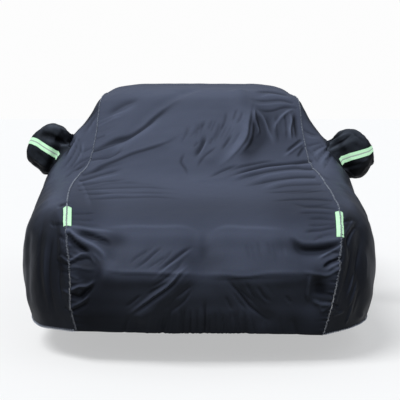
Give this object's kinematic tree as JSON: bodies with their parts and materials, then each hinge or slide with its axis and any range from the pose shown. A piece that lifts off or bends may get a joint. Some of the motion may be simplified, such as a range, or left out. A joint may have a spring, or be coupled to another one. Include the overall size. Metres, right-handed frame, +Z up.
{
  "type": "fitted car cover",
  "caption": "Fitted dark cloth car cover with a long centre panel, a panel down each side, hollow mirror pockets and pale green reflective strips, as it hangs on a saloon",
  "frame": {"origin": "the underside of the cover where it lies on the top of the roof", "axes": "+Z up, +Y from the front to the rear, +X to the right as seen from the front"},
  "size_m": [2.2171, 4.6178, 1.3378],
  "materials": {
    "cover_cloth": "thin dark blue-grey polyester with a faint sheen",
    "pocket_cloth": "the same polyester, near black",
    "reflective_strip": "pale green reflective tape with a grey middle stripe",
    "seam_thread": "light grey overlock thread"
  },
  "bodies": {
    "root": {"centre_panel": "cover_cloth", "side_panel_left": "cover_cloth", "side_panel_right": "cover_cloth", "mirror_pocket_left": "pocket_cloth", "mirror_pocket_right": "pocket_cloth", "strip_corner_left": "reflective_strip", "strip_corner_right": "reflective_strip", "strip_pocket_left": "reflective_strip", "strip_pocket_right": "reflective_strip"}
  },
  "joints": []
}
